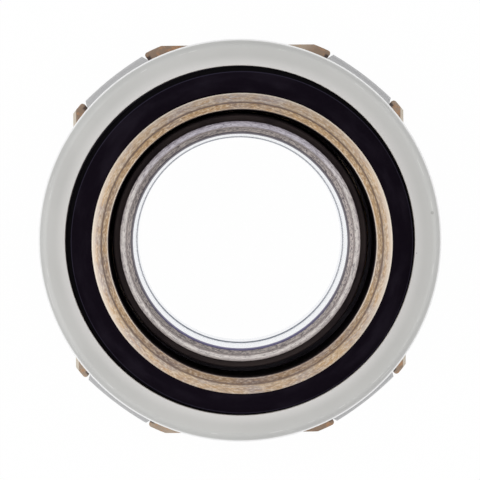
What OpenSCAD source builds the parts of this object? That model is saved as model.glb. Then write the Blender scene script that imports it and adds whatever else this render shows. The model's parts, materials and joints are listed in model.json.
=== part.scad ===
// Self-centring clutch release bearing.
// It stands on its rear end: Z is the axis of the guide sleeve, the thrust nose is on top.
// The ball bearing floats sideways under the cover's lip, and is drawn as it has settled.

/* [Guide sleeve] */
// Bore that slides on the gearbox's guide tube
sleeve_bore_d = 39; // [33:0.5:45]
// Length of that bore, from the rear end
guide_h = 13.7; // [8:0.1:20]
// Shoulder at the front of that bore
guide_step = 0.2; // [0.05:0.05:0.4]
// How much wider the tapered entry ahead of it is at its mouth
entry_w = 0.5; // [0.4:0.05:1]
// Wall of the sleeve at that mouth
sleeve_wall = 2.5; // [1.8:0.1:3.4]
// Front end of the sleeve, ahead of the cover's lip
sleeve_reach = 7.5; // [5:0.5:12]
// Width of the cone at the front end
lead_in_w = 1.25; // [0.6:0.05:1.6]
// Depth of that cone
lead_in_h = 0.8; // [0.4:0.1:2]
// Width of the steeper throat between that cone and the entry
throat_w = 0.3; // [0.1:0.05:0.5]
// Depth of the throat
throat_h = 0.6; // [0.2:0.1:1.5]
// Chamfer of the bore at the rear
rear_chamfer = 0.6; // [0.2:0.1:1.2]
// Height of the collar that the flange is pressed against
collar_w = 2; // [1.2:0.1:2.6]
// Thickness of that collar
collar_h = 1.6; // [1:0.1:2]
// Lip of the sleeve that is swaged over the back of the flange
swage_w = 1.5; // [1:0.1:2.4]

/* [Fork flange] */
// Thickness of the plate
flange_t = 3.3; // [2.4:0.1:5]
// Rim of the plate outside the claws
flange_rim = 0.5; // [0.4:0.05:2]
// Depth of the two side flats that the fork straddles
side_flat = 8.3; // [5:0.1:10]
// Depth of the top and bottom flats
top_flat = 2.8; // [2.2:0.1:4]
// Chamfer along the front of the side flats
flat_chamfer = 0.6; // [0.2:0.1:1]
// Rounding at the mouths of the notches
notch_round = 0.6; // [0.4:0.1:1.4]
// Chamfer round the rim
rim_chamfer = 0.35; // [0.2:0.05:0.8]

/* [Cover] */
// Thickness of the pressed sheet
sheet_t = 1.5; // [1:0.1:2]
// Rounding between the lip and the wall, inside
corner_in = 0.2; // [0.1:0.1:1.6]
// Width of the lip, from the inside of the wall
lip_w = 3.55; // [2.8:0.05:4]
// Width of a claw
claw_w = 13.8; // [9:0.1:15]
// How much a claw widens towards the wall, at each side
claw_flare = 0.8; // [0.2:0.1:1.2]
// Angle of the claws from the side of the flange
claw_angle = 52.4; // [50:0.1:54]
// How far the claws step out from the wall
claw_step = 1.6; // [1.55:0.05:2]
// Radius that a claw is bent to, flatter than the wall
claw_curve_r = 58; // [48:1:80]
// Rounding of the claws' bends, outside
claw_bend_r = 1.2; // [0.6:0.1:1.4]
// Reach of the hooks behind the flange
hook_reach = 2.6; // [1.5:0.1:4]

/* [Bearing rings] */
// Width of the outer ring
ring_w = 14.5; // [13.5:0.1:18]
// Wall of the inner ring under the race
race_wall_in = 1.9; // [1.5:0.05:2.4]
// Wall of the outer ring over the race
race_wall_out = 1.75; // [1.4:0.05:2.4]
// Wall of the thrust nose
nose_wall = 3.05; // [2.4:0.05:3.3]
// Top of the nose, ahead of the sleeve
nose_lead = 3.5; // [1:0.1:6]
// Top of the crown, in from the outside of the nose
crown_in = 1.79; // [1.2:0.01:2]
// Radius of the crown
crown_r = 6; // [4:0.5:12]
// Chamfer at both edges of the nose
nose_chamfer = 0.15; // [0.1:0.05:0.6]

/* [Balls and cage] */
// Diameter of a ball
ball_d = 6.35; // [5.6:0.05:6.8]
// Number of balls
ball_count = 20; // [14:1:20]
// How far the cage reaches past the middle of the balls to hold them
cage_grip = 2.4; // [1.6:0.1:2.6]
// Wall of the cage inside the ball circle
cage_in = 0.9; // [0.4:0.05:0.95]
// Wall of the cage outside the ball circle
cage_out = 1.8; // [1:0.1:1.9]
// Width of the slots between the cage's horns
horn_slot = 1.2; // [0.6:0.1:1.4]

/* [Seals] */
// Thickness of the front seal
front_seal_t = 1.95; // [1.6:0.05:2.4]
// Thickness of the rear seal
rear_seal_t = 1.6; // [1.3:0.05:2]
// Step of the front seal's face, in from its edge
seal_edge_w = 0.93; // [0.4:0.01:1.4]
// Depth of that step
seal_edge_h = 0.4; // [0.2:0.05:0.8]
// Wall of the dust ring on the sleeve
dust_wall = 1.25; // [0.8:0.05:2]
// Height of the dust ring
dust_h = 4; // [2:0.5:5]
// Dust ring behind the front end of the sleeve
dust_set = 2; // [1:0.1:3]

/* [Spring] */
// Thickness of the thrust plate
plate_t = 1.2; // [0.8:0.1:2]
// Height of the wave spring
spring_h = 2.35; // [1.6:0.05:3]
// Thickness of the wave spring's strip
spring_t = 0.7; // [0.4:0.05:1]
// Width of the wave spring's strip
spring_w = 3; // [2:0.1:3.2]
// Number of waves
spring_waves = 4; // [3:1:6]

/* [Float and clearances] */
// Room for the bearing to float, all round
float_room = 1.2; // [1:0.05:2]
// More of that room in the cover than round the sleeve
cover_spare = 0.25; // [0.05:0.05:0.5]
// Where the bearing has settled, to the right
rest_x = 0.36; // [-0.7:0.01:0.7]
// Where the bearing has settled, upwards
rest_y = -0.38; // [-0.7:0.01:0.7]
// Balls in their races
race_gap = 0.06; // [0.03:0.01:0.1]
// Balls in the cage
pocket_gap = 0.12; // [0.06:0.01:0.2]
// Pieces that are pressed or laid together
fit_gap = 0.02; // [0.01:0.01:0.05]
// Pieces that move past each other
run_gap = 0.3; // [0.2:0.05:0.4]
// Seal lips on the inner ring
lip_gap = 0.15; // [0.08:0.01:0.3]
// Claws in the notches, at each side
notch_gap = 0.55; // [0.3:0.05:0.8]

/* [Hidden] */
$fn = 96;

// Radii, from the bore outwards
guide_r = sleeve_bore_d / 2;
sleeve_r0 = guide_r + entry_w;
sleeve_r1 = sleeve_r0 + sleeve_wall;
collar_r = sleeve_r1 + collar_w;
swage_r = sleeve_r1 + swage_w;
dust_r = sleeve_r1 + dust_wall;
ring_bore_r = dust_r + float_room;
nose_r = ring_bore_r + nose_wall;
crown_x = nose_r - crown_in;
ball_r = ball_d / 2;
race_r = ball_r + race_gap;
pitch_r = ring_bore_r + race_wall_in + race_r;
// Both rings have a high shoulder on the side that takes the thrust, and a low one opposite:
// how far each stands from the ball circle, for a ball of 1
thrust_share = 0.19;
open_share = 0.395;
thrust_land = thrust_share * ball_d;
open_land = open_share * ball_d;
inner_front_r = pitch_r - thrust_land;
inner_rear_r = pitch_r - open_land;
outer_rear_r = pitch_r + thrust_land;
outer_front_r = pitch_r + open_land;
// Step of the outer ring that a seal is pressed against
seal_seat = 0.65;
front_seat_r = outer_front_r + seal_seat;
rear_seat_r = outer_rear_r + 2 * seal_seat;
outer_ring_r = pitch_r + race_r + race_wall_out;
cover_r0 = outer_ring_r + float_room + cover_spare;
cover_r1 = cover_r0 + sheet_t;
corner_r = corner_in + sheet_t;
lip_r = cover_r0 - lip_w;
claw_x1 = cover_r1 + claw_step;
claw_x0 = claw_x1 - sheet_t;
claw_shift = claw_curve_r - claw_x1;
claw_end_x = claw_curve_r * cos(asin(claw_w / 2 / claw_curve_r)) - claw_shift;
claw_root_half = claw_w / 2 + claw_flare;
claw_root_x = sqrt(pow(cover_r1, 2) - pow(claw_root_half, 2));
// Sweep of a claw, a degree past its widest place, where its outline cuts it off
claw_half_angle = asin(claw_root_half / (claw_root_x + claw_shift)) + 1;
notch_floor_r = claw_curve_r - sheet_t - run_gap;
notch_half = claw_w / 2 + notch_gap;
flange_r = claw_x1 + flange_rim;
side_flat_x = flange_r - side_flat;
top_flat_y = flange_r - top_flat;

// Heights, from the hooks upwards
flange_z0 = sheet_t + fit_gap;
flange_z1 = flange_z0 + flange_t;
plate_z0 = flange_z1 + fit_gap;
plate_z1 = plate_z0 + plate_t;
spring_z0 = plate_z1 + fit_gap;
ring_z0 = spring_z0 + spring_h + fit_gap;
ring_z1 = ring_z0 + ring_w;
lip_z0 = ring_z1 + fit_gap;
lip_z1 = lip_z0 + sheet_t;
sleeve_z1 = lip_z1 + sleeve_reach;
nose_z = sleeve_z1 + nose_lead;
// Outer ring between the rear seal and the race, and both seals behind the ring's faces
rear_shoulder = 1.6;
seal_recess = 0.1;
rear_seat_z = ring_z0 + seal_recess + rear_seal_t + fit_gap;
ball_z = rear_seat_z + rear_shoulder + race_r;
front_seal_z1 = ring_z1 - seal_recess;
front_seal_z0 = front_seal_z1 - front_seal_t;
front_seat_z = front_seal_z0 - fit_gap;
shoulder_z1 = front_seal_z0 - run_gap;
cage_z0 = ball_z - cage_grip;
cage_z1 = front_seal_z0 - run_gap;
dust_z1 = sleeve_z1 - dust_set;
claw_top = flange_z1 + fit_gap + sheet_t;

// Small edge breaks that the turned pieces share, and finer ones where an edge is seen sharp
edge_break = 0.3;
fine_break = 0.1;
claw_angles = [claw_angle, 180 - claw_angle, 180 + claw_angle, -claw_angle];
spring_steps = 96;
ball_step = 360 / ball_count;

function ball_name(i) = str("ball_", i < 9 ? "0" : "", i + 1);

// Rectangle of a turned profile, between two radii and two heights
module band(r0, r1, z0, z1) {
    translate([r0, z0]) square([r1 - r0, z1 - z0]);
}

// Diamond that takes a chamfer off a corner at [r, z]
module bevel(r, z, c) {
    translate([r, z]) rotate(45) square(c * sqrt(2), center = true);
}

// Corner to take off for a rounding: the corner is at [r, z], and r_way and z_way point outwards
module round_off(r, z, radius, r_way, z_way) {
    translate([r, z]) mirror([r_way < 0 ? 1 : 0, 0]) mirror([0, z_way < 0 ? 1 : 0]) difference() {
        translate([-radius, -radius]) square(2 * radius);
        translate([-radius, -radius]) circle(radius);
        translate([-2 * radius, -2 * radius]) square([radius, 4 * radius]);
        translate([-2 * radius, -2 * radius]) square([4 * radius, radius]);
    }
}

// Pieces of the ball bearing stand where it has settled
module settled() {
    translate([rest_x, rest_y, 0]) children();
}

// Turned tube, with a collar ahead of the flange and a lip swaged behind it
module guide_sleeve() {
    color("#b4aeaa") rotate_extrude() difference() {
        union() {
            band(guide_r, sleeve_r1, 0, sleeve_z1);
            band(guide_r, collar_r, flange_z1 + fit_gap, flange_z1 + fit_gap + collar_h);
            band(guide_r, swage_r, 0, flange_z0 - fit_gap);
        }
        polygon([
            [guide_r - 1, guide_h],
            [guide_r + guide_step, guide_h],
            [sleeve_r0, sleeve_z1 - lead_in_h - throat_h],
            [sleeve_r0 + throat_w, sleeve_z1 - lead_in_h],
            [sleeve_r0 + lead_in_w, sleeve_z1],
            [sleeve_r0 + lead_in_w, sleeve_z1 + 1],
            [guide_r - 1, sleeve_z1 + 1],
        ]);
        bevel(guide_r, 0, rear_chamfer);
        bevel(sleeve_r1, sleeve_z1, fine_break);
        bevel(collar_r, flange_z1 + fit_gap + collar_h, edge_break);
        round_off(swage_r, 0, swage_w / 2, 1, -1);
    }
}

// Room for one claw in the rim of the flange, with its mouth rounded at both sides
module notch() {
    round_y = notch_half + notch_round;
    round_x = sqrt(pow(flange_r - notch_round, 2) - pow(round_y, 2));
    rim = [round_x, round_y] * flange_r / (flange_r - notch_round);
    difference() {
        translate([0, -notch_half]) square([2 * flange_r, 2 * notch_half]);
        translate([-claw_shift, 0]) circle(notch_floor_r);
    }
    for (side = [0, 1]) mirror([0, side]) difference() {
        polygon([
            [round_x, notch_half - notch_round],
            [round_x, round_y],
            rim,
            [rim.x + notch_round, rim.y],
            [rim.x + notch_round, notch_half - notch_round],
        ]);
        translate([round_x, round_y]) circle(notch_round);
    }
}

// Plate that the release fork pushes on
module fork_flange() {
    color("#96806f") difference() {
        intersection() {
            translate([0, 0, flange_z0]) linear_extrude(flange_t) difference() {
                intersection() {
                    circle(flange_r);
                    square([2 * side_flat_x, 2 * top_flat_y], center = true);
                }
                circle(sleeve_r1 + fit_gap);
                for (a = claw_angles) rotate(a) notch();
            }
            rotate_extrude() difference() {
                band(0, flange_r, flange_z0, flange_z1);
                bevel(flange_r, flange_z0, rim_chamfer);
                bevel(flange_r, flange_z1, rim_chamfer);
            }
        }
        for (side = [-1, 1]) translate([side * side_flat_x, 0, flange_z1]) rotate([90, 0, 0])
            linear_extrude(2 * flange_r, center = true) bevel(0, 0, flat_chamfer);
    }
}

// Section of a claw: it steps out over the flange, drops through the notch and hooks behind
module claw_section() {
    hook_x = claw_x0 - run_gap - hook_reach;
    root_x = cover_r0 + sheet_t / 2;
    difference() {
        band(hook_x, claw_x1, 0, claw_top);
        band(hook_x - 1, claw_x0, flange_z0 - fit_gap, flange_z1 + fit_gap);
        band(hook_x - 1, root_x, flange_z0, claw_top + 1);
        round_off(claw_x1, claw_top, claw_bend_r, 1, 1);
        round_off(claw_x1, 0, claw_bend_r, 1, -1);
        bevel(hook_x, 0, edge_break);
    }
}

// Outline of a claw seen from the front: straight sides, and wider towards the wall over the flange
module claw_outline() {
    over_flange = flange_z1 + fit_gap;
    linear_extrude(claw_top + 1) translate([0, -claw_w / 2]) square([2 * claw_x1, claw_w]);
    translate([0, 0, over_flange]) linear_extrude(claw_top + 1 - over_flange) polygon([
        [claw_end_x, claw_w / 2],
        [claw_root_x, claw_root_half],
        [0, claw_root_half],
        [0, -claw_root_half],
        [claw_root_x, -claw_root_half],
        [claw_end_x, -claw_w / 2],
    ]);
}

// Pressed cup that holds the bearing on the flange
module cover() {
    color("#c2c1bd") {
        rotate_extrude() difference() {
            band(lip_r, cover_r1, flange_z1 + fit_gap, lip_z1);
            band(0, cover_r0 - corner_in, flange_z1, lip_z0);
            band(0, cover_r0, flange_z1, lip_z1 - corner_r);
            translate([cover_r1 - corner_r, lip_z1 - corner_r]) circle(corner_in);
            round_off(cover_r1, lip_z1, corner_r, 1, 1);
            round_off(lip_r, lip_z1, fine_break, -1, 1);
        }
        for (a = claw_angles) rotate(a) intersection() {
            translate([-claw_shift, 0, 0])
                rotate_extrude(angle = 2 * claw_half_angle, start = -claw_half_angle)
                    translate([claw_shift, 0]) claw_section();
            claw_outline();
        }
    }
}

// Ring on the sleeve that narrows the gap to the inner ring
module dust_ring() {
    color("#2a2426") rotate_extrude() difference() {
        band(sleeve_r1 + fit_gap, dust_r, dust_z1 - dust_h, dust_z1);
        bevel(dust_r, dust_z1, edge_break);
        bevel(dust_r, dust_z1 - dust_h, edge_break);
    }
}

// Full washer on the flange, under the wave spring
module thrust_plate() {
    color("#8f8f92") rotate_extrude() difference() {
        band(collar_r + run_gap, cover_r0 - run_gap, plate_z0, plate_z1);
        bevel(cover_r0 - run_gap, plate_z1, edge_break);
    }
}

// Closed ring of strip, waved up and down, that presses the bearing against the lip
module wave_spring() {
    middle_r = (outer_rear_r + outer_ring_r) / 2;
    wave_h = spring_h - spring_t;
    corners = [
        for (i = [0 : spring_steps - 1])
            let (a = i * 360 / spring_steps)
                let (low = spring_z0 + wave_h * (1 - cos(spring_waves * a)) / 2)
                    for (c = [[-1, 0], [1, 0], [1, 1], [-1, 1]])
                        let (r = middle_r + c.x * spring_w / 2)
                            [r * cos(a), r * sin(a), low + c.y * spring_t]
    ];
    sides = [
        for (i = [0 : spring_steps - 1])
            let (here = 4 * i, next = 4 * ((i + 1) % spring_steps))
                for (k = [0 : 3])
                    let (m = (k + 1) % 4)
                        [here + k, here + m, next + m, next + k]
    ];
    color("#6f7378") translate([rest_x, 0, 0]) polyhedron(corners, sides);
}

// Ring that stands still in the cover, with the thrust shoulder at the rear
module outer_ring() {
    color("#a9a9ab") settled() rotate_extrude() difference() {
        band(outer_rear_r, outer_ring_r, ring_z0, ring_z1);
        band(0, outer_front_r, ball_z, ring_z1 + 1);
        band(0, front_seat_r, front_seat_z, ring_z1 + 1);
        band(0, rear_seat_r, ring_z0 - 1, rear_seat_z);
        translate([pitch_r, ball_z]) circle(race_r);
        bevel(outer_ring_r, ring_z1, corner_r / 2);
        bevel(outer_ring_r, ring_z0, 2 * edge_break);
    }
}

// Ring that turns with the clutch: race, thrust shoulder and the long crowned nose
module inner_ring() {
    outer_drop = crown_r - sqrt(pow(crown_r, 2) - pow(crown_in, 2));
    inner_drop = crown_r - sqrt(pow(crown_r, 2) - pow(nose_wall - crown_in, 2));
    color("#b39a80") settled() rotate_extrude() difference() {
        union() {
            band(ring_bore_r, inner_rear_r, ring_z0, ball_z);
            band(ring_bore_r, inner_front_r, ball_z, shoulder_z1);
            band(ring_bore_r, nose_r, ball_z, nose_z - crown_r / 2);
            intersection() {
                band(ring_bore_r, nose_r, nose_z - crown_r / 2, nose_z);
                translate([crown_x, nose_z - crown_r]) circle(crown_r);
            }
        }
        translate([pitch_r, ball_z]) circle(race_r);
        bevel(nose_r, nose_z - outer_drop, nose_chamfer);
        bevel(ring_bore_r, nose_z - inner_drop, nose_chamfer);
        bevel(ring_bore_r, ring_z0, 2 * edge_break);
        bevel(inner_rear_r, ring_z0, edge_break);
        bevel(inner_front_r, shoulder_z1, edge_break);
    }
}

// Snap cage: a ring in front of the balls, with a round pocket for each and split horns
module ball_cage() {
    color("#d8d2bf") settled() difference() {
        rotate_extrude() difference() {
            band(pitch_r - cage_in, pitch_r + cage_out, cage_z0, cage_z1);
            bevel(pitch_r + cage_out, cage_z1, edge_break);
        }
        for (i = [0 : ball_count - 1]) rotate(i * ball_step) {
            translate([pitch_r, 0, ball_z]) sphere(ball_r + pocket_gap);
            rotate(ball_step / 2) translate([pitch_r - ball_d, 0, cage_z0]) rotate([90, 0, 90])
                linear_extrude(2 * ball_d) {
                    translate([0, cage_grip / 2]) circle(d = horn_slot);
                    translate([-horn_slot / 2, -1]) square([horn_slot, 1 + cage_grip / 2]);
                }
        }
    }
}

// One ball in its pocket
module ball(i) {
    color("#d0d2d6") settled() rotate(i * ball_step) translate([pitch_r, 0, ball_z]) sphere(d = ball_d);
}

// Rubber ring between the outer ring and the nose, with a lip bent towards the nose
module front_seal() {
    lip_x = nose_r + lip_gap;
    seal_r = front_seat_r - fit_gap;
    color("#17121c") settled() rotate_extrude() difference() {
        band(lip_x, seal_r, front_seal_z0, front_seal_z1);
        band(seal_r - seal_edge_w, seal_r + 1, front_seal_z1 - seal_edge_h, front_seal_z1 + 1);
        translate([lip_x + front_seal_t / 3, front_seal_z0]) circle(front_seal_t / 2);
        bevel(lip_x, front_seal_z1, edge_break);
    }
}

// Rubber ring that closes the bearing at the back
module rear_seal() {
    lip_x = inner_rear_r + lip_gap;
    color("#17121c") settled() rotate_extrude() difference() {
        band(lip_x, rear_seat_r - fit_gap, rear_seat_z - fit_gap - rear_seal_t, rear_seat_z - fit_gap);
        translate([lip_x + rear_seal_t / 3, rear_seat_z]) circle(rear_seal_t / 2);
    }
}

guide_sleeve();
fork_flange();
cover();
dust_ring();
thrust_plate();
wave_spring();
outer_ring();
inner_ring();
ball_cage();
front_seal();
rear_seal();
for (i = [0 : ball_count - 1])
    ball(i);
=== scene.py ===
import json
import math
import bpy
import bmesh
from mathutils import Matrix, Vector

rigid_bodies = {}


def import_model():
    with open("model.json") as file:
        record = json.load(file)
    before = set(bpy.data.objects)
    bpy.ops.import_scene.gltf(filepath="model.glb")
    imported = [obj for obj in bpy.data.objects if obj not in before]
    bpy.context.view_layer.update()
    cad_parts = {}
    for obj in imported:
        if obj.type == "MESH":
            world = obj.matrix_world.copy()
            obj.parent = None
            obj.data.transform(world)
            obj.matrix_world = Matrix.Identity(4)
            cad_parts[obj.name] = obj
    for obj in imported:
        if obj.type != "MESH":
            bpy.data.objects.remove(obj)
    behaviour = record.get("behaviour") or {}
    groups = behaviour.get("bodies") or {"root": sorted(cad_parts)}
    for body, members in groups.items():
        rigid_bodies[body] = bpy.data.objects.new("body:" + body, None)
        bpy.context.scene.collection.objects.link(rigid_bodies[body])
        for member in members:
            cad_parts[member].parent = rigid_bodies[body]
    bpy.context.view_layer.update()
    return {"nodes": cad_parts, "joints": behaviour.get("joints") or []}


for leftover in list(bpy.data.objects):
    bpy.data.objects.remove(leftover)

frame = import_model()
nodes = frame["nodes"]
joints = {joint["name"]: joint for joint in frame["joints"]}
mm = 0.001
floatX, floatY = (value / mm for value in joints["ring_spin"]["pos_m"][:2])
settledAt = (floatX, floatY)  # where the bearing has settled in the cover
onAxis = (0.0, 0.0)
print("frame loaded:", len(nodes), "nodes")


def tone(red, green, blue):  # a colour as a paint picker shows it, 0 to 255
    def linear(value):
        share = value / 255
        return share / 12.92 if share <= 0.04045 else ((share + 0.055) / 1.055) ** 2.4
    return (linear(red), linear(green), linear(blue), 1.0)


def feed(tree, socket, value):  # links another node's output, or sets a constant
    if isinstance(value, bpy.types.NodeSocket):
        tree.links.new(value, socket)
    else:
        socket.default_value = value


def addNode(tree, kind, settings=None, **values):  # i0, i1 and so on name a socket by its number
    node = tree.nodes.new("ShaderNode" + kind)
    for name, value in (settings or {}).items():
        setattr(node, name, value)
    for name, value in values.items():
        numbered = name[0] == "i" and name[1:].isdigit()
        feed(tree, node.inputs[int(name[1:])] if numbered else node.inputs[name], value)
    return node


def maths(tree, operation, *values):
    node = addNode(tree, "Math", {"operation": operation})
    for socket, value in zip(node.inputs, values):
        feed(tree, socket, value)
    return node.outputs[0]


def times(tree, first, second):
    return maths(tree, "MULTIPLY", first, second)


def fade(tree, value, start, end, low=0.0, high=1.0):  # smooth step from low at start to high at end
    node = addNode(tree, "MapRange", {"interpolation_type": "SMOOTHSTEP"},
                   i0=value, i1=start, i2=end, i3=low, i4=high)
    return node.outputs[0]


def band(tree, value, middle, halfWidth, soft):  # 1 in a band round middle, fading on both sides
    away = maths(tree, "ABSOLUTE", maths(tree, "SUBTRACT", value, middle))
    return fade(tree, away, halfWidth, halfWidth + soft, 1.0, 0.0)


def blendColour(tree, share, first, second, way="MIX"):
    node = addNode(tree, "Mix", {"data_type": "RGBA", "blend_type": way})
    for slot, value in ((0, share), (6, first), (7, second)):
        feed(tree, node.inputs[slot], value)
    return node.outputs[2]


def twoTone(tree, share, first, second):  # from one picked colour to another
    return blendColour(tree, share, tone(*first), tone(*second))


def paint(tree, share, colour, picked, way="MIX"):  # a picked colour over what is there
    return blendColour(tree, share, colour, tone(*picked), way)


def stretch(tree, vector, scale):
    return addNode(tree, "VectorMath", {"operation": "SCALE"}, i0=vector, Scale=scale).outputs[0]


def newGroup(name, inputs, outputs):
    group = bpy.data.node_groups.new(name, "ShaderNodeTree")
    for label, kind, value in inputs:
        socket = group.interface.new_socket(label, in_out="INPUT", socket_type="NodeSocket" + kind)
        if value is not None:
            socket.default_value = value
    for label, kind in outputs:
        group.interface.new_socket(label, in_out="OUTPUT", socket_type="NodeSocket" + kind)
    return group, group.nodes.new("NodeGroupInput").outputs, group.nodes.new("NodeGroupOutput").inputs


def useGroup(tree, group, **values):
    node = tree.nodes.new("ShaderNodeGroup")
    node.node_tree = group
    for name, value in values.items():
        feed(tree, node.inputs[name], value)
    return node.outputs


# Radius, height and direction round an upright axis, in millimetres
def makePolarPlace():
    group, given, result = newGroup(
        "polarPlace",
        [("Place", "Vector", None), ("CentreX", "Float", 0.0), ("CentreY", "Float", 0.0)],
        [("Radius", "Float"), ("Height", "Float"), ("Around", "Vector")],
    )
    split = addNode(group, "SeparateXYZ", i0=given["Place"]).outputs
    x = maths(group, "SUBTRACT", maths(group, "DIVIDE", split[0], mm), given["CentreX"])
    y = maths(group, "SUBTRACT", maths(group, "DIVIDE", split[1], mm), given["CentreY"])
    flat = addNode(group, "CombineXYZ", i0=x, i1=y).outputs[0]
    reach = addNode(group, "VectorMath", {"operation": "LENGTH"}, i0=flat).outputs["Value"]
    around = addNode(group, "VectorMath", {"operation": "NORMALIZE"}, i0=flat).outputs["Vector"]
    group.links.new(reach, result["Radius"])
    group.links.new(maths(group, "DIVIDE", split[2], mm), result["Height"])
    group.links.new(around, result["Around"])
    return group


# Rings left by a lathe or a grinding wheel, the short marks along them and slow patches of tone
patchLook = {"turns": 3.2, "across": 0.35}
def makeTurningMarks():
    group, given, result = newGroup(
        "turningMarks",
        [("Place", "Vector", None), ("CentreX", "Float", 0.0), ("CentreY", "Float", 0.0),
         ("Rings", "Float", 6.0), ("Marks", "Float", 60.0), ("Across", "Float", 2.5)],
        [("Rings", "Float"), ("Marks", "Float"), ("Patches", "Float")],
    )
    polar = useGroup(group, polarPlace, Place=given["Place"],
                     CentreX=given["CentreX"], CentreY=given["CentreY"])
    along = maths(group, "ADD", polar["Radius"], polar["Height"])

    def spread(turns, across):  # a place that runs round the axis and over the face
        lift = addNode(group, "CombineXYZ", i2=times(group, along, across)).outputs[0]
        wide = stretch(group, polar["Around"], turns)
        return addNode(group, "VectorMath", {"operation": "ADD"}, i0=wide, i1=lift).outputs[0]

    rings = addNode(group, "TexNoise", {"noise_dimensions": "1D"},
                    W=times(group, along, given["Rings"]), Detail=3.0, Scale=1.0)
    marks = addNode(group, "TexNoise", Vector=spread(given["Marks"], given["Across"]),
                    Scale=1.0, Detail=4.0, Roughness=0.65)
    patches = addNode(group, "TexNoise", Vector=spread(patchLook["turns"], patchLook["across"]),
                      Scale=1.0, Detail=3.0, Roughness=0.55)
    group.links.new(rings.outputs[0], result["Rings"])
    group.links.new(marks.outputs[0], result["Marks"])
    group.links.new(patches.outputs[0], result["Patches"])
    return group


# Sparse dark specks, fine scuffs, slow cloudiness and grain of a coated or oxidised surface
handledLook = {"speckLeast": 0.05, "speckMore": 0.09, "scuffs": 900.0, "scuffFade": (0.62, 0.74),
               "clouds": 70.0, "grain": 5200.0}
def makeHandledSurface():
    look = handledLook
    group, given, result = newGroup(
        "handledSurface",
        [("Place", "Vector", None), ("SpeckScale", "Float", 260.0), ("SpeckShare", "Float", 0.94)],
        [("Specks", "Float"), ("Scuffs", "Float"), ("Clouds", "Float"), ("Grain", "Float")],
    )
    cells = addNode(group, "TexVoronoi", Vector=given["Place"], Scale=given["SpeckScale"])
    chance = addNode(group, "SeparateColor", i0=cells.outputs["Color"]).outputs
    rare = maths(group, "GREATER_THAN", chance[0], given["SpeckShare"])
    small = maths(group, "ADD", times(group, chance[1], look["speckMore"]), look["speckLeast"])
    near = maths(group, "LESS_THAN", cells.outputs["Distance"], small)
    scuffs = addNode(group, "TexNoise", Vector=given["Place"],
                     Scale=look["scuffs"], Detail=6.0, Roughness=0.7, Distortion=1.2)
    clouds = addNode(group, "TexNoise", Vector=given["Place"],
                     Scale=look["clouds"], Detail=3.0, Roughness=0.5)
    grain = addNode(group, "TexNoise", Vector=given["Place"], Scale=look["grain"], Detail=2.0)
    group.links.new(times(group, rare, near), result["Specks"])
    group.links.new(fade(group, scuffs.outputs[0], *look["scuffFade"]), result["Scuffs"])
    group.links.new(clouds.outputs[0], result["Clouds"])
    group.links.new(grain.outputs[0], result["Grain"])
    return group


polarPlace = makePolarPlace()
turningMarks = makeTurningMarks()
handledSurface = makeHandledSurface()
print("shared shader groups built")


def newMaterial(name, look):  # the look's own roughness holds where nothing varies it
    material = bpy.data.materials.new(name)
    material.use_nodes = True
    tree = material.node_tree
    surface = tree.nodes["Principled BSDF"]
    surface.inputs["Roughness"].default_value = look["roughness"]
    surface.inputs["Metallic"].default_value = look["metallic"]
    surface.inputs["Specular IOR Level"].default_value = look.get("specular", 0.5)
    place = tree.nodes.new("ShaderNodeTexCoord").outputs["Object"]
    return material, tree, surface, place


def polarOf(tree, place, centre):
    return useGroup(tree, polarPlace, Place=place, CentreX=centre[0], CentreY=centre[1])


def marksOf(tree, place, centre, rings, marks, across=2.5):
    return useGroup(tree, turningMarks, Place=place, CentreX=centre[0], CentreY=centre[1],
                    Rings=rings, Marks=marks, Across=across)


def addBump(tree, surface, height, strength, distance):
    bump = addNode(tree, "Bump", Height=height, Strength=strength, Distance=distance)
    tree.links.new(bump.outputs[0], surface.inputs["Normal"])


def bumpMarks(tree, surface, marks, rings, short, strength, distance):  # rings and short marks together
    height = maths(tree, "ADD", times(tree, marks["Rings"], rings), times(tree, marks["Marks"], short))
    addBump(tree, surface, height, strength, distance)


# In the looks below colours run to 255, and radii, heights and widths are in millimetres
# The far and the near side of a turned piece, as shares of its radius toward +Y; the looks paint shade
# and highlights by these sides
turnedSides = {"far": (0.3, 0.9), "near": (-0.9, -0.3)}

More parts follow.
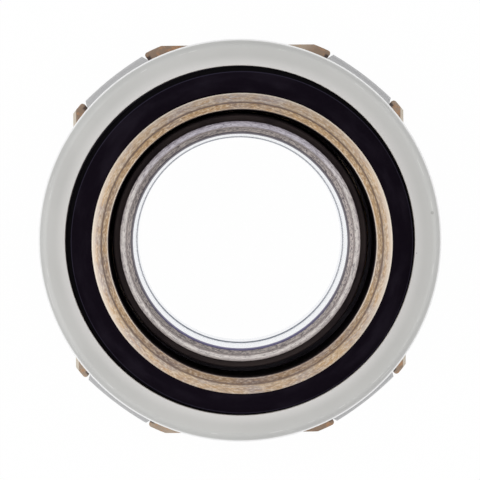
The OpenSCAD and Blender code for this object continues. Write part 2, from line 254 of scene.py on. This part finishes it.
# Light grey coated sheet of the cover
coverLook = {
    "face": (204, 204, 202), "cloud": (199, 199, 197), "lip": (221, 220, 219), "edge": (252, 252, 252),
    "claw": (196, 196, 197), "rubbed": (170, 167, 165), "scratch": (232, 232, 230),
    "speck": (92, 88, 84), "speckScale": 330.0, "speckShare": 0.955, "speckShow": 0.3,
    "roughness": 0.48, "scuffPolish": -0.08, "metallic": 0.3, "specular": 0.3, "bump": (0.12, 0.00004),
    "lipRadius": (32.9, 35.2), "clawHeight": (8.0, 9.5),
    "edgeRadius": (37.6, 37.85), "edgeHeight": (22.5, 23.0),
    "scratches": ((37.2, 5.0), (36.7, 9.0)), "scratchWidth": (0.03, 0.06),
}
def makeCoverCoat():
    look = coverLook
    material, tree, surface, place = newMaterial("coverCoat", look)
    handled = useGroup(tree, handledSurface, Place=place,
                       SpeckScale=look["speckScale"], SpeckShare=look["speckShare"])
    polar = polarOf(tree, place, onAxis)
    colour = twoTone(tree, fade(tree, handled["Clouds"], 0.35, 0.7), look["face"], look["cloud"])
    # painted highlight: the lip is painted lighter toward its inner edge
    colour = paint(tree, fade(tree, polar["Radius"], *look["lipRadius"], 1.0, 0.0), colour, look["lip"])
    claw = twoTone(tree, fade(tree, handled["Scuffs"], 0.0, 0.6), look["claw"], look["rubbed"])
    colour = blendColour(tree, fade(tree, polar["Height"], *look["clawHeight"], 1.0, 0.0), colour, claw)
    # painted highlight: near-white paint on the outer bend of the cover
    atCorner = fade(tree, polar["Radius"], *look["edgeRadius"])
    edge = times(tree, atCorner, fade(tree, polar["Height"], *look["edgeHeight"]))
    colour = paint(tree, edge, colour, look["edge"])
    for radius, turns in look["scratches"]:
        turned = stretch(tree, polar["Around"], turns)
        gaps = addNode(tree, "TexNoise", Vector=turned, Scale=1.0, Detail=4.0)
        broken = fade(tree, gaps.outputs[0], 0.56, 0.62, 0.0, 0.5)
        scratch = times(tree, broken, band(tree, polar["Radius"], radius, *look["scratchWidth"]))
        colour = paint(tree, scratch, colour, look["scratch"])
    colour = paint(tree, times(tree, handled["Specks"], look["speckShow"]), colour, look["speck"])
    tree.links.new(colour, surface.inputs["Base Color"])
    rough = maths(tree, "ADD", times(tree, handled["Scuffs"], look["scuffPolish"]), look["roughness"])
    tree.links.new(rough, surface.inputs["Roughness"])
    addBump(tree, surface, handled["Grain"], *look["bump"])
    return material


# Ground tan steel of the thrust nose
noseLook = {
    "tan": (188, 162, 132), "mauve": (166, 152, 146), "gold": (198, 158, 110), "pale": (226, 213, 195),
    "line": (122, 104, 95), "inside": (243, 236, 226), "rim": (238, 228, 214), "bore": (118, 106, 108),
    "far": (234, 235, 240), "near": (230, 231, 240), "wearAndSheen": (200, 189, 176),
    "roughness": 0.34, "roughRange": (0.28, 0.42), "metallic": 1.0,
    "marks": (9.0, 36.0, 4.6), "streaks": (4.0, 16.0, 6.0), "bump": (0.6, 0.5, 0.25, 0.00003),
    "crown": 26.21, "lineWidth": (0.09, 0.12), "besideLine": 0.42, "besideWidth": (0.07, 0.16),
    "paleEdgeRadius": (27.0, 27.6), "outerRim": (27.72, 27.85), "innerRim": (25.1, 25.25),
    "boreRadius": (24.97, 25.02), "endHeight": (34.6, 34.95),
}
def makeNoseSteel():
    look = noseLook
    crown = look["crown"]
    material, tree, surface, place = newMaterial("noseSteel", look)
    polar = polarOf(tree, place, settledAt)
    marks = marksOf(tree, place, settledAt, *look["marks"])
    streaks = marksOf(tree, place, settledAt, *look["streaks"])
    radius = polar["Radius"]
    colour = twoTone(tree, fade(tree, marks["Patches"], 0.38, 0.62), look["tan"], look["mauve"])
    colour = paint(tree, fade(tree, streaks["Marks"], 0.48, 0.66, 0.0, 0.6), colour, look["gold"])
    colour = paint(tree, fade(tree, streaks["Marks"], 0.32, 0.46, 0.55, 0.0), colour, look["pale"])
    grain = fade(tree, radius, crown - 0.1, crown + 0.1, 1.0, 0.7)  # weaker outside the crown
    light = times(tree, grain, fade(tree, marks["Marks"], 0.5, 0.64, 0.0, 0.8))
    dark = times(tree, grain, fade(tree, marks["Marks"], 0.34, 0.5, 0.6, 0.0))
    colour = paint(tree, light, colour, look["pale"])
    colour = paint(tree, dark, colour, look["line"])
    lineBand = band(tree, radius, crown, *look["lineWidth"])
    line = times(tree, lineBand, fade(tree, marks["Marks"], 0.3, 0.5, 0.5, 0.85))
    colour = paint(tree, line, colour, look["line"])
    inside = fade(tree, radius, crown - 0.2, crown, 1.0, 0.0)
    colour = paint(tree, inside, colour, look["inside"], "MULTIPLY")
    side = addNode(tree, "SeparateXYZ", i0=polar["Around"]).outputs[1]
    outside = maths(tree, "SUBTRACT", 1.0, inside)
    # painted shade: the outer band darker on the far side, the inner band darker on the near side
    farSide = times(tree, outside, fade(tree, side, *turnedSides["far"]))
    nearSide = times(tree, inside, fade(tree, side, *turnedSides["near"], 1.0, 0.0))
    colour = paint(tree, farSide, colour, look["far"], "MULTIPLY")
    colour = paint(tree, nearSide, colour, look["near"], "MULTIPLY")
    # painted highlight: a pale outer edge at the crowned end, full on the flanks, weaker on the far
    # side, none on the near side
    crownedEnd = fade(tree, polar["Height"], *look["endHeight"])
    paleEdgeSides = times(tree, fade(tree, side, -0.85, -0.4), fade(tree, side, 0.2, 0.75, 1.0, 0.3))
    paleEdgeBand = fade(tree, radius, *look["paleEdgeRadius"], 0.0, 0.7)
    paleEdgeHighlight = times(tree, paleEdgeBand, times(tree, paleEdgeSides, crownedEnd))
    colour = paint(tree, paleEdgeHighlight, colour, look["wearAndSheen"])
    # painted highlights: light lines on the outer rim, the inner rim and just outside the crown; the
    # outer rim weaker on the near side, the inner rim weaker on the far and near sides
    belowEnd = maths(tree, "SUBTRACT", 1.0, crownedEnd)
    outerSides = maths(tree, "MAXIMUM", fade(tree, side, -0.9, -0.5, 0.3, 1.0), belowEnd)
    outerRim = times(tree, fade(tree, radius, *look["outerRim"], 0.0, 0.55), outerSides)
    innerSides = fade(tree, maths(tree, "ABSOLUTE", side), 0.45, 0.85, 1.0, 0.3)
    innerRim = times(tree, fade(tree, radius, *look["innerRim"], 0.7, 0.0), innerSides)
    besideLine = times(tree, band(tree, radius, crown + look["besideLine"], *look["besideWidth"]), 0.12)
    rim = maths(tree, "MAXIMUM", besideLine, maths(tree, "MAXIMUM", outerRim, innerRim))
    colour = paint(tree, rim, colour, look["rim"])
    colour = paint(tree, fade(tree, radius, *look["boreRadius"], 1.0, 0.0), colour, look["bore"])
    tree.links.new(colour, surface.inputs["Base Color"])
    rough = fade(tree, marks["Marks"], 0.3, 0.7, *look["roughRange"])
    tree.links.new(rough, surface.inputs["Roughness"])
    bumpMarks(tree, surface, marks, *look["bump"])
    return material


# Grey turned steel of the guide sleeve
sleeveLook = {
    "grey": (178, 169, 168), "mauve": (158, 148, 152), "wearAndSheen": (232, 225, 220), "cone": (234, 221, 214),
    "line": (164, 154, 151), "edge": (120, 115, 121), "edgeNear": (118, 113, 146),
    "bore": (242, 244, 248), "shoulder": (206, 208, 214), "shoulderNear": (166, 171, 182),
    "outside": (70, 64, 64), "dull": (118, 110, 117), "pit": (74, 68, 78), "far": (226, 227, 242),
    "roughness": 0.33, "roughRange": (0.26, 0.42), "borePolish": -0.3, "metallic": 1.0, "specular": 0.0,
    "marks": (7.0, 34.0, 4.0), "streaks": (4.0, 13.0, 11.0), "bump": (0.8, 0.4, 0.12, 0.00003),
    "boreRadius": (20.02, 20.06), "shoulderHeight": 13.7, "shoulderWidth": (0.2, 0.5),
    "edgeRadius": 20.28, "edgeWidth": (0.15, 0.1), "coneRadius": 20.8, "coneWidth": (0.28, 0.15),
    "lineRadius": 21.27, "lineWidth": (0.05, 0.14), "landStart": (21.3, 21.5),
    "landWear": (21.38, 21.6), "landEnd": (21.85, 22.3), "shadedLandEdge": (21.9, 22.35),
    "outsideRadius": (22.4, 22.46), "outsideHeight": (31.2, 31.6),
}
def makeSleeveSteel():
    look = sleeveLook
    material, tree, surface, place = newMaterial("sleeveSteel", look)
    polar = polarOf(tree, place, onAxis)
    marks = marksOf(tree, place, onAxis, *look["marks"])
    streaks = marksOf(tree, place, onAxis, *look["streaks"])
    radius = polar["Radius"]
    side = addNode(tree, "SeparateXYZ", i0=polar["Around"]).outputs[1]
    colour = twoTone(tree, fade(tree, marks["Patches"], 0.4, 0.6), look["grey"], look["mauve"])
    colour = paint(tree, fade(tree, marks["Marks"], 0.52, 0.66, 0.0, 0.7), colour, look["wearAndSheen"])
    offLand = fade(tree, radius, *look["landStart"], 1.0, 0.3)
    pits = times(tree, fade(tree, marks["Marks"], 0.36, 0.5, 0.75, 0.0), offLand)
    colour = paint(tree, pits, colour, look["pit"])
    coneBand = band(tree, radius, look["coneRadius"], *look["coneWidth"])
    cone = times(tree, coneBand, fade(tree, marks["Marks"], 0.44, 0.56, 0.0, 1.0))
    colour = paint(tree, cone, colour, look["cone"])
    landEnd = fade(tree, radius, *look["landEnd"], 1.0, 0.2)
    land = times(tree, fade(tree, radius, *look["landWear"]), landEnd)
    wearAndSheen = times(tree, land, fade(tree, marks["Marks"], 0.34, 0.58, 0.7, 0.95))
    colour = paint(tree, wearAndSheen, colour, look["wearAndSheen"])
    colour = paint(tree, fade(tree, streaks["Marks"], 0.38, 0.49, 0.6, 0.0), colour, look["dull"])
    colour = paint(tree, fade(tree, streaks["Marks"], 0.51, 0.6, 0.0, 0.8), colour, look["wearAndSheen"])
    # painted shade: the outer edge of the land darker, most on the near side
    edgeShadeSides = fade(tree, side, -0.8, -0.2, 0.75, 0.3)
    shadedLandEdge = times(tree, fade(tree, radius, *look["shadedLandEdge"]), edgeShadeSides)
    colour = paint(tree, shadedLandEdge, colour, look["line"])
    line = band(tree, radius, look["lineRadius"], *look["lineWidth"])
    colour = paint(tree, line, colour, look["line"])
    # painted shade: the land darker and bluer on the far side
    farLand = times(tree, fade(tree, side, *turnedSides["far"]), fade(tree, radius, *look["landStart"]))
    colour = paint(tree, farLand, colour, look["far"], "MULTIPLY")
    # a darker ring at the bore's front edge; on the near side it is painted bluer, as painted shade
    nearSide = fade(tree, side, *turnedSides["near"], 1.0, 0.0)
    edge = twoTone(tree, nearSide, look["edge"], look["edgeNear"])
    colour = blendColour(tree, band(tree, radius, look["edgeRadius"], *look["edgeWidth"]), colour, edge)
    wall = fade(tree, radius, *look["boreRadius"], 1.0, 0.0)
    colour = paint(tree, wall, colour, look["bore"])
    # painted shade: a grey band round the bore at the step, darker on the near side
    step = band(tree, polar["Height"], look["shoulderHeight"], *look["shoulderWidth"])
    shoulder = twoTone(tree, nearSide, look["shoulder"], look["shoulderNear"])
    colour = blendColour(tree, times(tree, wall, step), colour, shoulder)
    behindEnd = fade(tree, polar["Height"], *look["outsideHeight"], 1.0, 0.0)
    outside = times(tree, fade(tree, radius, *look["outsideRadius"]), behindEnd)
    colour = paint(tree, outside, colour, look["outside"])
    tree.links.new(colour, surface.inputs["Base Color"])
    rough = fade(tree, marks["Marks"], 0.3, 0.7, *look["roughRange"])
    rough = times(tree, rough, maths(tree, "MULTIPLY_ADD", wall, look["borePolish"], 1.0))
    tree.links.new(rough, surface.inputs["Roughness"])
    bumpMarks(tree, surface, marks, *look["bump"])
    return material


# Brown oxidised plate of the fork flange, with light ends at its flats and painted shade beside the
# claws
flangeLook = {
    "brown": (190, 172, 154), "dark": (160, 138, 120), "rust": (200, 152, 112), "rustScale": 900.0,
    "light": (226, 212, 194), "grime": (52, 48, 56), "chamfer": (226, 218, 204),
    "roughness": 0.5, "roughRange": (0.42, 0.6), "metallic": 0.75, "bump": (0.2, 0.00005),
    "chamferFrom": 31.2, "chamferTo": 31.3, "grimeRadius": (39.1, 39.5),
    "clawTurn": (52.4, 11.8, 0.7),  # middle, half width and softness in degrees
}
def makeFlangeSteel():
    look = flangeLook
    material, tree, surface, place = newMaterial("flangeSteel", look)
    handled = useGroup(tree, handledSurface, Place=place)
    colour = twoTone(tree, fade(tree, handled["Clouds"], 0.38, 0.6), look["brown"], look["dark"])
    rust = addNode(tree, "TexNoise", Vector=place, Scale=look["rustScale"], Detail=3.0, Roughness=0.6)
    colour = paint(tree, fade(tree, rust.outputs[0], 0.5, 0.66, 0.0, 0.6), colour, look["rust"])
    split = addNode(tree, "SeparateXYZ", i0=place).outputs
    across = maths(tree, "ABSOLUTE", split[0])
    chamfer = fade(tree, across, look["chamferFrom"] * mm, look["chamferTo"] * mm, 0.0, 0.8)
    colour = paint(tree, chamfer, colour, look["chamfer"])
    # painted shade beside the claws, inside the cover's rim
    turn = maths(tree, "ARCTAN2", maths(tree, "ABSOLUTE", split[1]), across)
    besideClaw = band(tree, turn, *(math.radians(angle) for angle in look["clawTurn"]))
    polar = polarOf(tree, place, onAxis)
    grime = times(tree, besideClaw, fade(tree, polar["Radius"], *look["grimeRadius"], 0.8, 0.0))
    colour = paint(tree, grime, colour, look["grime"])
    colour = paint(tree, handled["Scuffs"], colour, look["light"])
    tree.links.new(colour, surface.inputs["Base Color"])
    rough = fade(tree, handled["Clouds"], 0.3, 0.7, *look["roughRange"])
    tree.links.new(rough, surface.inputs["Roughness"])
    addBump(tree, surface, handled["Grain"], *look["bump"])
    return material


# Black moulded rubber with the faint rings of its mould; a step has a painted highlight on its edge and
# painted shade outside it
rubberLooks = {
    "front_seal": {"name": "sealRubber", "dark": (13, 5, 19), "dusty": (28, 22, 34),
                   "centre": settledAt, "roughness": 0.55, "metallic": 0.0, "specular": 0.06,
                   "step": {"at": 32.29, "edge": (50, 46, 63), "outside": (8, 6, 11)}},
    "rear_seal": {"name": "rearSealRubber", "dark": (12, 7, 17), "dusty": (22, 17, 28),
                  "centre": settledAt, "roughness": 0.55, "metallic": 0.0, "specular": 0.06,
                  "step": None},
    "dust_ring": {"name": "dustRubber", "dark": (70, 61, 60), "dusty": (48, 41, 45),
                  "centre": onAxis, "roughness": 0.55, "metallic": 0.0, "specular": 0.03,
                  "step": {"at": 23.58, "edge": (58, 50, 51), "outside": (30, 25, 28)}},
}
rubberStep = {"shade": 0.1, "inward": 0.06, "edge": (0.04, 0.08)}
def makeRubber(look):
    roughness = look["roughness"]
    material, tree, surface, place = newMaterial(look["name"], look)
    marks = marksOf(tree, place, look["centre"], 2.5, 40.0)
    colour = twoTone(tree, fade(tree, marks["Patches"], 0.42, 0.75), look["dark"], look["dusty"])
    step = look["step"]
    if step:
        radius = polarOf(tree, place, look["centre"])["Radius"]
        at = step["at"]
        # painted shade outside the step and a painted highlight just inside it
        shade = fade(tree, radius, at, at + rubberStep["shade"])
        edge = band(tree, radius, at - rubberStep["inward"], *rubberStep["edge"])
        colour = paint(tree, shade, colour, step["outside"])
        colour = paint(tree, edge, colour, step["edge"])
    tree.links.new(colour, surface.inputs["Base Color"])
    rough = fade(tree, marks["Marks"], 0.3, 0.7, roughness - 0.08, roughness + 0.1)
    tree.links.new(rough, surface.inputs["Roughness"])
    bumpMarks(tree, surface, marks, 0.5, 0.5, 0.15, 0.00004)
    return material


# Bright or tempered steel of the pieces inside; front is an end painted dark, as painted shade under
# the cover's lip
steelLooks = {
    # the thrust plate's tones are dark, painted shade of the pit it sits in
    "thrust_plate": {"name": "plateSteel", "bright": (92, 88, 95), "dull": (76, 72, 79),
                     "centre": onAxis, "roughness": 0.36, "metallic": 1.0, "front": None},
    "wave_spring": {"name": "springSteel", "bright": (104, 110, 122), "dull": (86, 88, 96),
                    "centre": (floatX, 0.0), "roughness": 0.3, "metallic": 1.0, "front": None},
    "outer_ring": {"name": "ringSteel", "bright": (196, 197, 199), "dull": (180, 180, 182),
                   "centre": settledAt, "roughness": 0.25, "metallic": 1.0,
                   "front": {"height": (21.6, 22.1), "frontShade": (46, 42, 50)}},
    "balls": {"name": "ballSteel", "bright": (212, 214, 218), "dull": (200, 202, 206),
              "centre": settledAt, "roughness": 0.12, "metallic": 1.0, "front": None},
}
def makeInnerSteel(look):
    roughness = look["roughness"]
    material, tree, surface, place = newMaterial(look["name"], look)
    marks = marksOf(tree, place, look["centre"], 5.0, 90.0)
    colour = twoTone(tree, fade(tree, marks["Patches"], 0.35, 0.7), look["bright"], look["dull"])
    front = look["front"]
    if front:
        # painted shade: the front end of the outer ring is dark, as the shade under the cover's lip
        height = polarOf(tree, place, onAxis)["Height"]
        colour = paint(tree, fade(tree, height, *front["height"]), colour, front["frontShade"])
    tree.links.new(colour, surface.inputs["Base Color"])
    rough = fade(tree, marks["Rings"], 0.3, 0.7, roughness - 0.05, roughness + 0.08)
    tree.links.new(rough, surface.inputs["Roughness"])
    addBump(tree, surface, marks["Rings"], 0.15, 0.00003)
    return material


# Natural moulded plastic of the ball cage
cageLook = {"natural": (226, 218, 196), "shade": (208, 198, 172), "roughness": 0.45, "metallic": 0.0,
            "bump": (0.1, 0.00004)}
def makeCagePlastic():
    look = cageLook
    material, tree, surface, place = newMaterial("cagePlastic", look)
    handled = useGroup(tree, handledSurface, Place=place)
    colour = twoTone(tree, fade(tree, handled["Clouds"], 0.3, 0.7), look["natural"], look["shade"])
    tree.links.new(colour, surface.inputs["Base Color"])
    addBump(tree, surface, handled["Grain"], *look["bump"])
    return material


finishes = {
    "cover": makeCoverCoat(),
    "inner_ring": makeNoseSteel(),
    "guide_sleeve": makeSleeveSteel(),
    "fork_flange": makeFlangeSteel(),
    "ball_cage": makeCagePlastic(),
}
for name, look in rubberLooks.items():
    finishes[name] = makeRubber(look)
for name, look in steelLooks.items():
    finishes[name] = makeInnerSteel(look)
for name, node in nodes.items():
    node.data.materials.clear()
    node.data.materials.append(finishes.get(name, finishes["balls"]))
print("materials assigned")

# Photographed from straight ahead, a little above the axis; spot and aim in millimetres
viewer = {"spot": (-3.3, 14.1, 863.0), "aim": (-0.03, 0.21, 31.2), "roll": -0.6, "lens": 334.0,
          "sensor": 36.0, "farthest": 20.0}
def makeCamera():
    data = bpy.data.cameras.new("frontCamera")
    data.lens = viewer["lens"]
    data.sensor_width = viewer["sensor"]
    data.clip_end = viewer["farthest"]
    camera = bpy.data.objects.new("frontCamera", data)
    bpy.context.scene.collection.objects.link(camera)
    spot = Vector(viewer["spot"]) * mm
    ahead = (Vector(viewer["aim"]) * mm - spot).normalized()
    right = ahead.cross(Vector((0, 1, 0))).normalized()
    up = right.cross(ahead)
    turn = Matrix((right, up, -ahead)).transposed().to_4x4()
    roll = Matrix.Rotation(math.radians(viewer["roll"]), 4, "Z")
    camera.matrix_world = Matrix.Translation(spot) @ turn @ roll
    bpy.context.scene.camera = camera


# White sweep under the part, in metres: white to the eye and to reflections, and shaded by the part
sweep = {"radius": 3.0, "sides": 96, "gap": 0.0003, "white": 0.98, "glow": 0.98}
def makeFloor():
    shape = bmesh.new()
    bmesh.ops.create_circle(shape, cap_ends=True, segments=sweep["sides"], radius=sweep["radius"])
    bmesh.ops.translate(shape, verts=shape.verts, vec=(0, 0, -sweep["gap"]))
    mesh = bpy.data.meshes.new("floor")
    shape.to_mesh(mesh)
    shape.free()
    floor = bpy.data.objects.new("floor", mesh)
    bpy.context.scene.collection.objects.link(floor)
    material = bpy.data.materials.new("whiteSweep")
    material.use_nodes = True
    tree = material.node_tree
    tree.nodes.clear()
    white = sweep["white"]
    matt = addNode(tree, "BsdfDiffuse", Color=(white, white, white, 1.0))
    glow = addNode(tree, "Emission", Color=(1.0, 1.0, 1.0, 1.0), Strength=1.0)
    path = tree.nodes.new("ShaderNodeLightPath").outputs
    mirrored = maths(tree, "MAXIMUM", path["Is Glossy Ray"], path["Is Transmission Ray"])
    seen = maths(tree, "MAXIMUM", path["Is Camera Ray"], mirrored)
    glowing = times(tree, seen, sweep["glow"])
    mix = addNode(tree, "MixShader", i0=glowing, i1=matt.outputs[0], i2=glow.outputs[0])
    addNode(tree, "OutputMaterial", Surface=mix.outputs[0])
    mesh.materials.append(material)


# White tent: brightest in a ring high up, softer walls, dim straight above where the camera looks in
sky = {"wall": 0.8, "ring": 1.5, "ringFade": (0.45, 0.75), "above": 0.25, "hole": (0.955, 0.995),
       "endFade": (0.06, 0.4), "ends": 0.62, "leftMore": 0.13, "lowerMore": 0.15, "turnOver": 0.3}
def makeSky():
    world = bpy.data.worlds.new("studio")
    bpy.context.scene.world = world
    world.use_nodes = True
    tree = world.node_tree
    tree.nodes.clear()
    outward = tree.nodes.new("ShaderNodeTexCoord").outputs["Generated"]
    split = addNode(tree, "SeparateXYZ", i0=outward).outputs
    level = fade(tree, split[2], *sky["ringFade"], sky["wall"], sky["ring"])
    level = times(tree, level, fade(tree, split[2], *sky["hole"], 1.0, sky["above"]))
    towardEnds = maths(tree, "ABSOLUTE", split[1])
    level = times(tree, level, fade(tree, towardEnds, *sky["endFade"], 1.0, sky["ends"]))
    level = maths(tree, "ADD", level, times(tree, split[0], -sky["leftMore"]))
    lower = times(tree, split[1], maths(tree, "SUBTRACT", sky["turnOver"], split[2]))
    level = maths(tree, "ADD", level, times(tree, lower, sky["lowerMore"]))
    colour = addNode(tree, "CombineColor", i0=level, i1=level, i2=level).outputs[0]
    light = addNode(tree, "Background", Color=colour, Strength=1.0)
    addNode(tree, "OutputWorld", Surface=light.outputs[0])


# Two weak soft lamps beside the tent; spot in millimetres, size in metres
lamps = [
    {"name": "leftSoft", "spot": (-520, -260, 640), "size": 0.6, "power": 0.4},
    {"name": "rightSoft", "spot": (560, 120, 600), "size": 0.6, "power": 0.3},
]
def makeLamps():
    for lamp in lamps:
        data = bpy.data.lights.new(lamp["name"], "AREA")
        data.size = lamp["size"]
        data.energy = lamp["power"]
        light = bpy.data.objects.new(lamp["name"], data)
        bpy.context.scene.collection.objects.link(light)
        spot = Vector(lamp["spot"]) * mm
        light.location = spot
        light.rotation_euler = (-spot).to_track_quat("-Z", "Y").to_euler()


makeCamera()
makeFloor()
makeSky()
makeLamps()
bpy.context.scene.view_settings.view_transform = "Standard"
print("camera, floor and light set")
